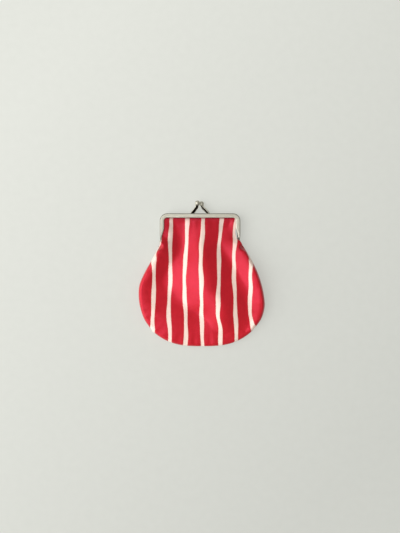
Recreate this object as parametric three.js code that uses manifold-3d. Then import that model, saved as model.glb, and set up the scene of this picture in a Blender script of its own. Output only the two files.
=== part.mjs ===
// Kiss-lock pouch: two cloth panels sewn together round the sides and bottom, gripped at the
// mouth by a hinged metal frame that snaps shut on two ball knobs. It lies on its back, closed.
// Millimetres. +X is to the right, +Y towards the clasp and +Z up off the table.
// The sizes below are taken from the middle of the frame's top bar, on the table.
import * as THREE from "three";
import { mergeVertices } from "three/addons/utils/BufferGeometryUtils.js";
import Module from "manifold-3d";

const wasm = await Module();
wasm.setup();

// Driving dimensions

const gap = 0.3; // clearance between pieces that meet
const clothThickness = 1.2;

const frame = {
  width: 64.6, // outside the legs
  band: 3.5, // rolled strip as seen from the front
  depth: 3.8, // thickness of one half
  halvesApart: 0.4, // between the closed halves
  slot: 2.4, // mouth of the channel that grips the cloth
  slotDepth: 2.6,
  corner: 6, // outside corner radius
  bead: 0.6, // rounding of the strip's outer edges
  lip: 0.5, // rounding of the strip's inner edges
};

const hinge = {
  below: 22.8, // rivet axis, under the top of the frame
  lugRadius: 1.8,
  lugThickness: 0.7,
  shank: 0.6, // rivet radii
  head: 1.4,
  headFlat: 0.84, // the flat middle of a head
  headThickness: 0.4,
};

// Each half's leg: where its lips start to be cut away, where only its outer wall is left and
// where that ends, how far up the leg the riveted lug runs, its heights there, where its neck
// turns up or down to the hinge, the neck's height there and the lug's outer face.
const frontLeg = {
  lipsEnd: 12,
  wallFrom: 20.8,
  end: 21,
  lugFrom: 15,
  lugLow: 4.5,
  lugHigh: 7.7,
  neckAt: 19,
  neckHigh: 6.7,
  lugFace: 31.9,
};
const backLeg = {
  lipsEnd: 9,
  wallFrom: 13,
  end: 14.5,
  lugFrom: 8,
  lugLow: 0.3,
  lugHigh: 2.9,
  neckAt: 19.6,
  neckHigh: 3.6,
  lugFace: 30.9,
};

// Ball knobs on stamped arms, each arm a channel open along its inner side.
const knob = { radius: 1.95, arm: 1.5, wall: 0.45, around: 190 };

// The knobs have snapped past each other, so each arm crosses from its own half of the
// frame to the far side. Each row is a point on the arm: x, y above the frame and z. The arm's
// channel opens along opens, up and towards the other arm.
const armOfBackHalf = {
  opens: { x: 0.5, z: 0.86 },
  rows: [
    { x: -6.3, y: -0.45, z: 2.1 },
    { x: -6.1, y: 0.6, z: 2.3 },
    { x: -4.7, y: 2.4, z: 3.3 },
    { x: -2.6, y: 5.2, z: 4.8 },
    { x: -2.1, y: 8.5, z: 5.7 },
  ],
};
const armOfFrontHalf = {
  opens: { x: -0.9, z: 0.43 },
  rows: [
    { x: 6.2, y: -0.45, z: 5.8 },
    { x: 6.0, y: 0.6, z: 5.6 },
    { x: 4.4, y: 2.4, z: 4.7 },
    { x: 1.9, y: 5.1, z: 3.4 },
    { x: 1.1, y: 8.2, z: 2.5 },
  ],
};

// Side edges of the panels, down from the frame: x to the left and right of the frame's
// middle, and how far out the back panel may reach inside the frame, clear of the lugs.
const sideEdge = [
  { below: 1.3, left: 26.6, right: 26.6, back: 26.2 },
  { below: 2.7, left: 29.4, right: 29.4, back: 28.6 },
  { below: 4.4, left: 30.5, right: 30.5, back: 29.3 },
  { below: 7.0, left: 30.9, right: 30.9, back: 29.6 },
  { below: 14.0, left: 30.8, right: 28.1, back: 29.6 },
  { below: 20.4, left: 30.7, right: 29.7, back: 29.6 },
  { below: 22.8, left: 31.6, right: 32.2, back: 31.0 },
  { below: 27.0, left: 32.8, right: 34.6, back: 35.0 },
  { below: 36.5, left: 37.7, right: 40.4, back: 40.8 },
  { below: 47.0, left: 43.7, right: 45.5, back: 45.9 },
  { below: 57.0, left: 48.0, right: 48.9, back: 49.3 },
  { below: 66.0, left: 48.8, right: 50.8, back: 51.2 },
  { below: 75.0, left: 47.6, right: 51.4, back: 51.8 },
  { below: 85.0, left: 44.2, right: 48.5, back: 48.9 },
  { below: 94.2, left: 37.8, right: 41.5, back: 41.9 },
];
const seamStart = 7; // row of sideEdge where the two panels meet
const bottom = { below: 106.2, square: 3, bendFrom: 60 }; // lowest point and shape of the bottom curve

// Height of the seam, and how far in from it each panel rolls over.
const seam = { atHinge: 4.0, atBelly: 2.7, bellyBelow: 50, half: 0.42, frontRoll: 3.2, backRoll: 6 };
// How far from the frame the cloth takes to leave its plane, and where each half's legs let go.
const grip = { reach: 7, frontLegEnd: 17.5, backLegEnd: 13 };

// The front panel's mean height, by distance below the frame.
const swell = [
  { below: 2, height: 6.1 },
  { below: 14, height: 7.8 },
  { below: 30, height: 9.6 },
  { below: 46, height: 9.9 },
  { below: 62, height: 9.9 },
  { below: 78, height: 9.5 },
  { below: 94, height: 7.8 },
  { below: 106, height: 6.2 },
];

// Soft folds down the front panel, from left to right: at eight distances below the frame, the x of
// each fold's line and how far the cloth stands above or below its mean height there.
const foldLevels = [8, 20, 32, 45, 58, 71, 84, 96];
const folds = [
  {
    // left crest
    x: [-29, -29, -34, -38.5, -47, -47, -33, -33],
    rise: [-0.6, 0.0, 2.2, 1.4, 1.4, 1.2, 1.2, 1.2],
  },
  {
    // left trough
    x: [-18, -16, -16.6, -25, -26.8, -16, 2, 10],
    rise: [-2.6, -2.9, -2.9, -3.0, -2.8, -2.6, -2.0, -0.5],
  },
  {
    // middle crest
    x: [4.6, 0.4, 0.6, 2.4, 4.8, 14, 18, 20.6],
    rise: [0.6, 1.1, 3.4, 5.5, 5.8, 5.2, 2.4, -1.2],
  },
  {
    // right trough
    x: [24, 15, 20, 28, 35.2, 40, 41, 35],
    rise: [-1.8, -2.0, -2.0, -0.6, -0.8, -1.2, -2.2, -2.2],
  },
  {
    // right crest
    x: [28, 29, 36, 41.2, 47, 48.5, 46, 40],
    rise: [-1.0, -1.0, 1.6, 2.8, 2.0, 0.8, -1.5, -1.6],
  },
];

// How finely the curves and the panels are divided.
const divisions = {
  edge: 2,
  corner: 3,
  lug: 8,
  channel: 8,
  arm: 10,
  ballAround: 14,
  ballDown: 10,
  rivet: 12,
};
const frontGrid = { columns: 26, rows: 28 };
const backGrid = { columns: 20, rows: 24 };

const cloth = { color: 0xc4283a, roughness: 0.85, metalness: 0 };
const nickel = { color: 0xc6c5bb, roughness: 0.5, metalness: 1 };

// Worked-out places

const halfWidth = frame.width / 2;
const bandMiddle = halfWidth - frame.band / 2;
const cornerMiddle = halfWidth - frame.corner;
const backPlane = frame.depth / 2; // middle of the back half's channel
const frontPlane = 1.5 * frame.depth + frame.halvesApart;
const hingeHeight = frame.depth + frame.halvesApart / 2;
const slotWall = halfWidth - frame.band + frame.slotDepth; // bottom of the legs' channels

// Small sums

const ease = (t) => {
  const c = THREE.MathUtils.clamp(t, 0, 1);
  return c * c * (3 - 2 * c);
};

// From 0 to 1 in a straight slope, rounded off at both ends: the side of a fold.
const slope = (t) => {
  const round = 0.22;
  const c = THREE.MathUtils.clamp(t, 0, 1);
  const fromEnd = Math.min(c, 1 - c);
  const bend = fromEnd ** 2 / (2 * round * (1 - round));
  const rise = fromEnd < round ? bend : (fromEnd - round / 2) / (1 - round);
  return c < 0.5 ? rise : 1 - rise;
};

// A smooth curve through values at given places, level beyond both ends.
function curveThrough(places, values, at) {
  const last = places.length - 1;
  if (at <= places[0]) return values[0];
  if (at >= places[last]) return values[last];
  const i = places.findIndex((place) => place > at) - 1;
  const tangent = (k) => {
    if (k <= 0 || k >= last) return 0;
    return (values[k + 1] - values[k - 1]) / (places[k + 1] - places[k - 1]);
  };
  const span = places[i + 1] - places[i];
  const t = (at - places[i]) / span;
  const rise = values[i + 1] - values[i];
  const bendIn = tangent(i) * span - rise;
  const bendOut = rise - tangent(i + 1) * span;
  return values[i] + t * rise + t * (1 - t) * (bendIn * (1 - t) + bendOut * t);
}

function distanceToLine(points, x, y) {
  let nearest = Infinity;
  for (let i = 1; i < points.length; i++) {
    const a = points[i - 1];
    const b = points[i];
    const along = ((x - a.x) * (b.x - a.x) + (y - a.y) * (b.y - a.y)) / a.distanceToSquared(b);
    const t = THREE.MathUtils.clamp(along, 0, 1);
    nearest = Math.min(nearest, Math.hypot(x - a.x - t * (b.x - a.x), y - a.y - t * (b.y - a.y)));
  }
  return nearest;
}

// Solids

// A closed solid from vertices and triangles, with its faces turned outwards.
function solidFrom(points, triangles) {
  const position = new Float32Array(points.flatMap((p) => [p.x, p.y, p.z]));
  const volume = triangles.reduce((sum, [a, b, c]) => {
    return sum + points[a].dot(new THREE.Vector3().crossVectors(points[b], points[c]));
  }, 0);
  const facing = volume < 0 ? triangles.map(([a, b, c]) => [a, c, b]) : triangles;
  const mesh = { numProp: 3, vertProperties: position, triVerts: new Uint32Array(facing.flat()) };
  return new wasm.Manifold(new wasm.Mesh(mesh));
}

function solidOf(geometry) {
  const bare = geometry.index ? geometry.toNonIndexed() : geometry;
  bare.deleteAttribute("normal");
  bare.deleteAttribute("uv");
  const merged = mergeVertices(bare, 1e-4);
  const at = merged.attributes.position;
  const points = Array.from({ length: at.count }, (_, i) => new THREE.Vector3().fromBufferAttribute(at, i));
  const index = merged.index.array;
  const triangles = [];
  for (let i = 0; i < index.length; i += 3) {
    const [a, b, c] = index.slice(i, i + 3);
    if (a !== b && b !== c && c !== a) triangles.push([a, b, c]);
  }
  return solidFrom(points, triangles);
}

function geometryOf(solid) {
  const { vertProperties, triVerts } = solid.getMesh();
  const geometry = new THREE.BufferGeometry();
  geometry.setAttribute("position", new THREE.BufferAttribute(vertProperties, 3));
  geometry.setIndex(new THREE.BufferAttribute(triVerts, 1));
  geometry.computeVertexNormals();
  return geometry;
}

// A flat outline drawn in the Y-Z plane and given a thickness along X.
function plateAcrossX(shape, fromX, thickness) {
  const plate = new THREE.ExtrudeGeometry(shape, {
    depth: thickness,
    bevelEnabled: false,
    curveSegments: divisions.lug,
  });
  const x = new THREE.Vector3(1, 0, 0);
  const y = new THREE.Vector3(0, 1, 0);
  const z = new THREE.Vector3(0, 0, 1);
  plate.applyMatrix4(new THREE.Matrix4().makeBasis(y, z, x).setPosition(fromX, 0, 0));
  return solidOf(plate);
}

// Frame halves

// Section of the rolled strip: x points out of the pouch, y across its thickness. The slot
// that grips the cloth opens inwards.
function stripSection() {
  const [b, d, s] = [frame.band / 2, frame.depth / 2, frame.slot / 2];
  const { bead, lip, slotDepth } = frame;
  const section = new THREE.Path();
  section.moveTo(-b, -s);
  section.absarc(-b + lip, -d + lip, lip, Math.PI, 1.5 * Math.PI, false);
  section.absarc(b - bead, -d + bead, bead, 1.5 * Math.PI, 2 * Math.PI, false);
  section.absarc(b - bead, d - bead, bead, 0, 0.5 * Math.PI, false);
  section.absarc(-b + lip, d - lip, lip, 0.5 * Math.PI, Math.PI, false);
  section.lineTo(-b, s);
  section.lineTo(-b + slotDepth, s);
  section.lineTo(-b + slotDepth, -s);
  return section.getPoints(divisions.edge);
}

// The strip follows a leg, a corner, the top bar, a corner and the other leg.
function stripPath(legEnd, height) {
  const path = new THREE.Path();
  const radius = frame.corner - frame.band / 2;
  path.moveTo(-bandMiddle, -legEnd);
  path.lineTo(-bandMiddle, -frame.corner);
  path.absarc(-cornerMiddle, -frame.corner, radius, Math.PI, Math.PI / 2, true);
  path.absarc(cornerMiddle, -frame.corner, radius, Math.PI / 2, 0, true);
  path.lineTo(bandMiddle, -legEnd);
  return path.getPoints(divisions.corner).map((p) => new THREE.Vector3(p.x, p.y, height));
}

// Carries a section along a path: facing gives the direction of the section's x for each way
// the path goes, and its y stands square to both.
function sweep(section, path, facing) {
  const points = [];
  const triangles = [];
  const count = section.length;
  path.forEach((place, i) => {
    const before = path[Math.max(i - 1, 0)];
    const after = path[Math.min(i + 1, path.length - 1)];
    const way = after.clone().sub(before).normalize();
    const right = facing(way);
    const up = way.clone().cross(right);
    section.forEach((p) => points.push(place.clone().addScaledVector(right, p.x).addScaledVector(up, p.y)));
    if (i === 0) return;
    section.forEach((_, k) => {
      const [a, b] = [(i - 1) * count + k, (i - 1) * count + ((k + 1) % count)];
      triangles.push([a, a + count, b + count], [a, b + count, b]);
    });
  });
  const end = (path.length - 1) * count;
  THREE.ShapeUtils.triangulateShape(section, []).forEach((face) => {
    const turned = THREE.ShapeUtils.area(face.map((k) => section[k])) < 0;
    const [a, b, c] = turned ? [...face].reverse() : face;
    triangles.push([a, b, c], [end + a, end + c, end + b]);
  });
  return solidFrom(points, triangles);
}

// Takes the lips off a leg on a slant, so that only its outer wall reaches the hinge.
function lipCut(leg, side) {
  const past = 1; // the cutter runs on beyond the leg
  const wall = slotWall + 0.1; // a little into the wall, to take the slot's corner with it
  const lipEdge = halfWidth - frame.band;
  const run = (leg.wallFrom - leg.lipsEnd) / (wall - lipEdge);
  const shape = new THREE.Shape();
  shape.moveTo(side * wall, -leg.wallFrom);
  shape.lineTo(side * wall, -leg.end - past);
  shape.lineTo(side * (lipEdge - past), -leg.end - past);
  shape.lineTo(side * (lipEdge - past), -leg.lipsEnd + past * run);
  const tall = 3 * frame.depth;
  const cut = new THREE.ExtrudeGeometry(shape, { depth: tall, bevelEnabled: false });
  return solidOf(cut.translate(0, 0, -frame.depth / 2));
}

// A flat lug from a leg to the hinge, with a hole for the rivet.
function lug(leg, side) {
  const { lugRadius, lugThickness, below, shank } = hinge;
  const shape = new THREE.Shape();
  shape.moveTo(-leg.lugFrom, leg.lugLow);
  shape.lineTo(-leg.lugFrom, leg.lugHigh);
  shape.lineTo(-leg.neckAt, leg.neckHigh);
  shape.absarc(-below, hingeHeight, lugRadius, Math.PI / 2, 1.5 * Math.PI, false);
  const hole = new THREE.Path();
  hole.absarc(-below, hingeHeight, shank + gap, 0, 2 * Math.PI, true);
  shape.holes.push(hole);
  const fromX = side > 0 ? leg.lugFace - lugThickness : -leg.lugFace;
  return plateAcrossX(shape, fromX, lugThickness);
}

// A bent arm with a ball at its tip, soldered to the top bar.
function knobOnArm({ opens, rows }) {
  const points = rows.map((p) => new THREE.Vector3(p.x, p.y, p.z));
  const tip = points[points.length - 1];
  const half = THREE.MathUtils.degToRad(knob.around / 2);
  const channel = new THREE.Path();
  channel.absarc(0, 0, knob.arm, Math.PI - half, Math.PI + half, false);
  channel.absarc(0, 0, knob.arm - knob.wall, Math.PI + half, Math.PI - half, true);
  const open = new THREE.Vector3(opens.x, 0, opens.z);
  const facing = (way) => open.clone().addScaledVector(way, -open.dot(way)).normalize();
  const bent = new THREE.CatmullRomCurve3(points).getPoints(divisions.arm);
  const arm = sweep(channel.getPoints(divisions.channel), bent, facing);
  const ball = new THREE.SphereGeometry(knob.radius, divisions.ballAround, divisions.ballDown);
  return arm.add(solidOf(ball.translate(tip.x, tip.y, tip.z)));
}

function frameHalf(plane, leg, arm) {
  const outwards = (way) => new THREE.Vector3(-way.y, way.x, 0);
  let half = sweep(stripSection(), stripPath(leg.end, plane), outwards);
  for (const side of [-1, 1]) {
    half = half.subtract(lipCut(leg, side)).add(lug(leg, side));
  }
  return half.add(knobOnArm(arm));
}

// A rivet turned about its own axis: a head, the shank through both lugs and a second head.
function rivet(side) {
  const { shank, head, headFlat, headThickness, lugThickness } = hinge;
  const inner = backLeg.lugFace - lugThickness - gap;
  const outer = frontLeg.lugFace + gap;
  const profile = [
    [0, inner - headThickness],
    [headFlat, inner - headThickness],
    [head, inner],
    [shank, inner],
    [shank, outer],
    [head, outer],
    [headFlat, outer + headThickness],
    [0, outer + headThickness],
  ].map(([r, along]) => new THREE.Vector2(r, along));
  const turned = new THREE.LatheGeometry(profile, divisions.rivet).rotateZ((-side * Math.PI) / 2);
  return solidOf(turned.translate(0, -hinge.below, hingeHeight));
}

// Cloth panels

const rowCurve = (side, reach) => {
  const points = sideEdge.map((row) => new THREE.Vector3(side * reach(row), -row.below, 0));
  return new THREE.CatmullRomCurve3(points);
};

// A panel's outline as a patch: s runs across from -1 to 1, t from the frame to the bottom seam.
// Rows and columns crowd towards the seams, where the cloth turns over.
function patch(left, right) {
  const corner = sideEdge[sideEdge.length - 1].below;
  return (s, t) => {
    const across = Math.sin((s * Math.PI) / 2);
    const down = Math.sin((t * Math.PI) / 2);
    const place = left.getPoint(down).lerp(right.getPoint(down), (across + 1) / 2);
    const bend = Math.max(0, (-place.y - bottom.bendFrom) / (corner - bottom.bendFrom));
    place.y -= (bottom.below - corner) * bend ** 2 * (1 - Math.abs(across) ** bottom.square);
    return place;
  };
}

// The line where the two panels are sewn, from hinge to hinge by way of the bottom.
function seamLine(outline) {
  const steps = 60;
  const start = (2 / Math.PI) * Math.asin(seamStart / (sideEdge.length - 1));
  const side = Array.from({ length: steps + 1 }, (_, i) => start + ((1 - start) * i) / steps);
  const under = Array.from({ length: steps + 1 }, (_, i) => -1 + (2 * i) / steps);
  return [
    ...side.map((t) => outline(-1, t)),
    ...under.slice(1, -1).map((s) => outline(s, 1)),
    ...side.reverse().map((t) => outline(1, t)),
  ];
}

// How far a point is free of the frame, from 0 in its channel to 1 in the open cloth.
function freeOfFrame(x, below, legEnd) {
  const lipEdge = halfWidth - frame.band;
  const fromLeg = Math.hypot(Math.max(0, lipEdge - Math.abs(x)), Math.max(0, below - legEnd));
  return ease(fromLeg / grip.reach) * ease((below - frame.band) / grip.reach);
}

// How far a panel has turned over from the seam, from 0 on it to 1 past the roll.
function turnedOver(line, x, y, roll) {
  const tolerance = 0.02;
  const inward = Math.min(1, Math.max(0, distanceToLine(line, x, y) - tolerance) / roll);
  return Math.sqrt(1 - (1 - inward) ** 2);
}

const seamHeight = (below) => {
  const drop = ease((below - sideEdge[seamStart].below) / (seam.bellyBelow - sideEdge[seamStart].below));
  return THREE.MathUtils.lerp(seam.atHinge, seam.atBelly, drop);
};

// Stands level past the outer folds, and slopes from each fold line to the next between them.
function foldRise(x, below) {
  const lines = folds.map((fold) => curveThrough(foldLevels, fold.x, below));
  const rises = folds.map((fold) => curveThrough(foldLevels, fold.rise, below));
  const right = lines.findIndex((line) => line > x);
  if (right === 0) return rises[0];
  if (right < 0) return rises[rises.length - 1];
  const share = slope((x - lines[right - 1]) / (lines[right] - lines[right - 1]));
  return THREE.MathUtils.lerp(rises[right - 1], rises[right], share);
}

function frontHeight(line, x, y) {
  const mean = curveThrough(swell.map((row) => row.below), swell.map((row) => row.height), -y);
  const open = mean + foldRise(x, -y);
  const held = THREE.MathUtils.lerp(frontPlane, open, freeOfFrame(x, -y, grip.frontLegEnd));
  const edge = seamHeight(-y) + seam.half;
  return THREE.MathUtils.lerp(edge, held, turnedOver(line, x, y, seam.frontRoll));
}

// The back panel lies flat on the table inside its rolled edge.
function backHeight(line, x, y) {
  const free = freeOfFrame(x, -y, grip.backLegEnd);
  const held = THREE.MathUtils.lerp(backPlane, clothThickness / 2, free);
  const edge = seamHeight(-y) - seam.half;
  return THREE.MathUtils.lerp(edge, held, turnedOver(line, x, y, seam.backRoll));
}

// A sheet of cloth of even thickness about the surface place(s, t).
function sheet(place, columns, rows) {
  const middle = [];
  for (let j = 0; j <= rows; j++) {
    for (let i = 0; i <= columns; i++) middle.push(place((2 * i) / columns - 1, j / rows));
  }
  const at = (i, j) => j * (columns + 1) + i;
  const within = THREE.MathUtils.clamp;
  const side = (sign) => middle.map((p, k) => {
    const [i, j] = [k % (columns + 1), Math.floor(k / (columns + 1))];
    const corner = i % columns === 0 && j % rows === 0;
    const row = corner ? within(j, 1, rows - 1) : j; // a corner leans the way the cloth beside it does
    const column = corner ? within(i, 1, columns - 1) : i;
    const [west, east] = [within(i - 1, 0, columns), within(i + 1, 0, columns)];
    const [north, south] = [within(j - 1, 0, rows), within(j + 1, 0, rows)];
    const across = middle[at(east, row)].clone().sub(middle[at(west, row)]);
    const down = middle[at(column, south)].clone().sub(middle[at(column, north)]);
    return p.clone().addScaledVector(down.cross(across).normalize(), (sign * clothThickness) / 2);
  });
  const points = [...side(1), ...side(-1)];
  const under = middle.length;
  const triangles = [];
  for (let j = 0; j < rows; j++) {
    for (let i = 0; i < columns; i++) {
      const [a, b, c, d] = [at(i, j), at(i + 1, j), at(i + 1, j + 1), at(i, j + 1)];
      triangles.push([a, c, b], [a, d, c]);
      triangles.push([under + a, under + b, under + c], [under + a, under + c, under + d]);
    }
  }
  const rim = (a, b) => triangles.push([a, b, under + b], [a, under + b, under + a]);
  for (let i = 0; i < columns; i++) {
    rim(at(i, 0), at(i + 1, 0));
    rim(at(i + 1, rows), at(i, rows));
  }
  for (let j = 0; j < rows; j++) {
    rim(at(0, j + 1), at(0, j));
    rim(at(columns, j), at(columns, j + 1));
  }
  return solidFrom(points, triangles);
}

function panel(height, left, right, { columns, rows }) {
  const outline = patch(rowCurve(-1, left), rowCurve(1, right));
  const line = seamLine(outline);
  const place = (s, t) => {
    const p = outline(s, t);
    return p.setZ(height(line, p.x, p.y));
  };
  return sheet(place, columns, rows);
}

// Assembly

const pouch = new THREE.Group();

function addPiece(name, solid, look) {
  const mesh = new THREE.Mesh(geometryOf(solid), new THREE.MeshStandardMaterial(look));
  mesh.name = name;
  pouch.add(mesh);
}

const frontPanel = panel(frontHeight, (row) => row.left, (row) => row.right, frontGrid);
const backLeft = (row) => Math.min(row.left, row.back);
const backRight = (row) => Math.min(row.right, row.back);
const backPanel = panel(backHeight, backLeft, backRight, backGrid);

addPiece("front_panel", frontPanel, cloth);
addPiece("back_panel", backPanel, cloth);
addPiece("front_frame", frameHalf(frontPlane, frontLeg, armOfFrontHalf), nickel);
addPiece("back_frame", frameHalf(backPlane, backLeg, armOfBackHalf), nickel);
addPiece("left_rivet", rivet(-1), nickel);
addPiece("right_rivet", rivet(1), nickel);

// The part's origin is on the table, under the middle of everything.
const whole = new THREE.Box3().setFromObject(pouch);
const middle = whole.getCenter(new THREE.Vector3());
pouch.position.set(-middle.x, -middle.y, -whole.min.z);

export default pouch;
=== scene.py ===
import bpy
import numpy as np
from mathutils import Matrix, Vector


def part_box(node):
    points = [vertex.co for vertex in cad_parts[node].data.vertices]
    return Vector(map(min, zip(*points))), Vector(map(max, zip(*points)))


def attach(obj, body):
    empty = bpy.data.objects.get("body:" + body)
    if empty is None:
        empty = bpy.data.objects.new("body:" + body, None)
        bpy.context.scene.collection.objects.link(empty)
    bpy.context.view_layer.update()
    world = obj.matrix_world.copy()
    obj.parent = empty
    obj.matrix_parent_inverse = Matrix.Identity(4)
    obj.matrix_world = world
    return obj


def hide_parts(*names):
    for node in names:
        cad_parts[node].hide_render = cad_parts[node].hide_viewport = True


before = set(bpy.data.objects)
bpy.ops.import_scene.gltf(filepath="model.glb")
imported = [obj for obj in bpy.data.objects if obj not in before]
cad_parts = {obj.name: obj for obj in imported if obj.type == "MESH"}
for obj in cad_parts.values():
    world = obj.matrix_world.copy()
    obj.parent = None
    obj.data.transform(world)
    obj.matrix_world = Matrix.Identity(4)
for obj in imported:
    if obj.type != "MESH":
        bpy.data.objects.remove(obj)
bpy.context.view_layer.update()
mm = 0.001

# All shapes are worked out in millimetres about the middle of the frame's top bar, on the table:
# x to the right, y towards the clasp, z up. The rivets say where that is in the part.
hingeBelow = 22.8
rivetBoxes = np.array([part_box("left_rivet"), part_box("right_rivet")], float)
frameTop = rivetBoxes.mean(axis=(0, 1)) * [1, 1, 0] + [0, hingeBelow * mm, 0]


# Small helpers

def ease(t):  # smoothstep, level at both ends
    t = np.clip(t, 0, 1)
    return t * t * (3 - 2 * t)


def slope(t, bend):  # from 0 to 1 in a straight slope, rounded off as a parabola over bend at both ends
    t = np.clip(t, 0, 1)
    fromEnd = np.minimum(t, 1 - t)
    curved = fromEnd ** 2 / (2 * bend * (1 - bend))
    straight = (fromEnd - bend / 2) / (1 - bend)
    rise = np.where(fromEnd < bend, curved, straight)
    return np.where(t < 0.5, rise, 1 - rise)


def mixTo(a, b, share):  # straight blend from a to b
    return a + (b - a) * share


def unit(vectors):  # scaled to length 1
    return vectors / np.linalg.norm(vectors, axis=-1, keepdims=True)


def soften(rows, times, closed=False):
    # A blur along the first axis: each time, half of every row and a quarter of each neighbour.
    for _ in range(times):
        before, after = np.roll(rows, 1, axis=0), np.roll(rows, -1, axis=0)
        if not closed:
            before[0], after[-1] = rows[0], rows[-1]
        rows = 0.25 * before + 0.5 * rows + 0.25 * after
    return rows


def curveThrough(places, values, at):  # cubic Hermite through the rows, level beyond both ends
    places, values = np.asarray(places, float), np.asarray(values, float)
    slopes = np.gradient(values, places)
    i = np.clip(np.searchsorted(places, at, side="right") - 1, 0, len(places) - 2)
    span = places[i + 1] - places[i]
    t = np.clip((at - places[i]) / span, 0, 1)
    rise = values[i + 1] - values[i]
    bendIn = slopes[i] * span - rise
    bendOut = rise - slopes[i + 1] * span
    return values[i] + t * rise + t * (1 - t) * (bendIn * (1 - t) + bendOut * t)


def arc(cx, cy, radius, fromTurn, toTurn, steps):  # points of a circular arc, in turns of a full circle
    angle = np.linspace(fromTurn, toTurn, steps) * 2 * np.pi
    return np.stack([cx + radius * np.cos(angle), cy + radius * np.sin(angle)], axis=1)


def gridFaces(rows, columns, closed=False):  # quads of a rows x columns grid, wrapped across if closed
    across = np.arange(columns if closed else columns - 1)
    j, i = np.meshgrid(np.arange(rows - 1), across, indexing="ij")
    a, b = j * columns + i, j * columns + (i + 1) % columns
    return np.stack([a, b, b + columns, a + columns], axis=-1).reshape(-1, 4)


def tubeFaces(rows, columns, first=0):  # a tube of rings from point first on, with a face over each end
    ring = np.arange(columns) + first
    ends = [ring[::-1].tolist(), (ring + (rows - 1) * columns).tolist()]
    return (gridFaces(rows, columns, closed=True) + first).tolist() + ends


def addPiece(name, node, points, faces, material):
    # Millimetre points to a smooth mesh in the part's frame, which stands for a CAD node.
    mesh = bpy.data.meshes.new(name)
    mesh.from_pydata((np.asarray(points).reshape(-1, 3) * mm + frameTop).tolist(), [], faces)
    mesh.validate()
    mesh.polygons.foreach_set("use_smooth", np.ones(len(mesh.polygons), bool))
    mesh.materials.append(material)
    mesh.update()
    piece = bpy.data.objects.new(name, mesh)
    bpy.context.collection.objects.link(piece)
    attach(piece, "root")
    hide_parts(node)
    return piece


def addValues(piece, name, values):  # one number for each point, which a material reads by its name
    mark = piece.data.attributes.new(name, "FLOAT", "POINT")
    mark.data.foreach_set("value", values.astype(np.float32))


def colour(code):  # sRGB hex to linear
    rgb = np.array([int(code[i:i + 2], 16) for i in (0, 2, 4)]) / 255
    linear = np.where(rgb <= 0.04045, rgb / 12.92, ((rgb + 0.055) / 1.055) ** 2.4)
    return (*linear.tolist(), 1.0)


def addNode(tree, kind, inputs=None, **settings):  # a node with its settings, values and links
    node = tree.nodes.new(kind)
    for key, value in settings.items():
        setattr(node, key, value)
    for key, value in (inputs or {}).items():
        if isinstance(value, bpy.types.NodeSocket):
            tree.links.new(value, node.inputs[key])
        else:
            node.inputs[key].default_value = value
    return node


def newMaterial(name):
    material = bpy.data.materials.new(name)
    material.use_nodes = True
    material.node_tree.nodes.clear()
    return material, material.node_tree


mixShare, mixFirst, mixSecond, mixOut = 0, 6, 7, 2  # a Mix node's sockets when it mixes colours

# Printed cotton canvas: a plain weave with a pigment print lying in its threads, so the red is a little
# mottled, the edges of the stripes are soft and the folds gleam pink where they face the light.
canvas = {
    "red": "ca222a", "redDeep": "b81a21", "cream": "ffebde", "creamDeep": "fae3d2",
    "threadPitch": 1.0,  # mm, really about 0.6, drawn coarser so that it shows
    "waveTurn": 0.3142,  # the Wave node's Scale for one thread a millimetre
    "threadHeight": 0.2, "slubHeight": 0.6,  # mm, and a thick place's share of it
    "mottlesPerMm": 0.22, "slubsPerMm": 1.1,  # patches of about 4.5 mm, thick places of about 0.9 mm
    "edgeSoft": 0.3, "edgeRagged": 0.5,  # mm at the edges of the stripes
    "roughness": 0.38, "shine": 1.0, "gleam": "ff6f92",
    "barShadow": 0.75, "barShadowReach": 1.0,  # share and mm: painted shadow line along the top bar
    "frameShade": 0.20, "frameShadeReach": 15.0,  # share and mm: painted shade round the frame
    "uvSpan": 100.0,  # mm of flat cloth from 0 to 1 on the UV map
}


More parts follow.
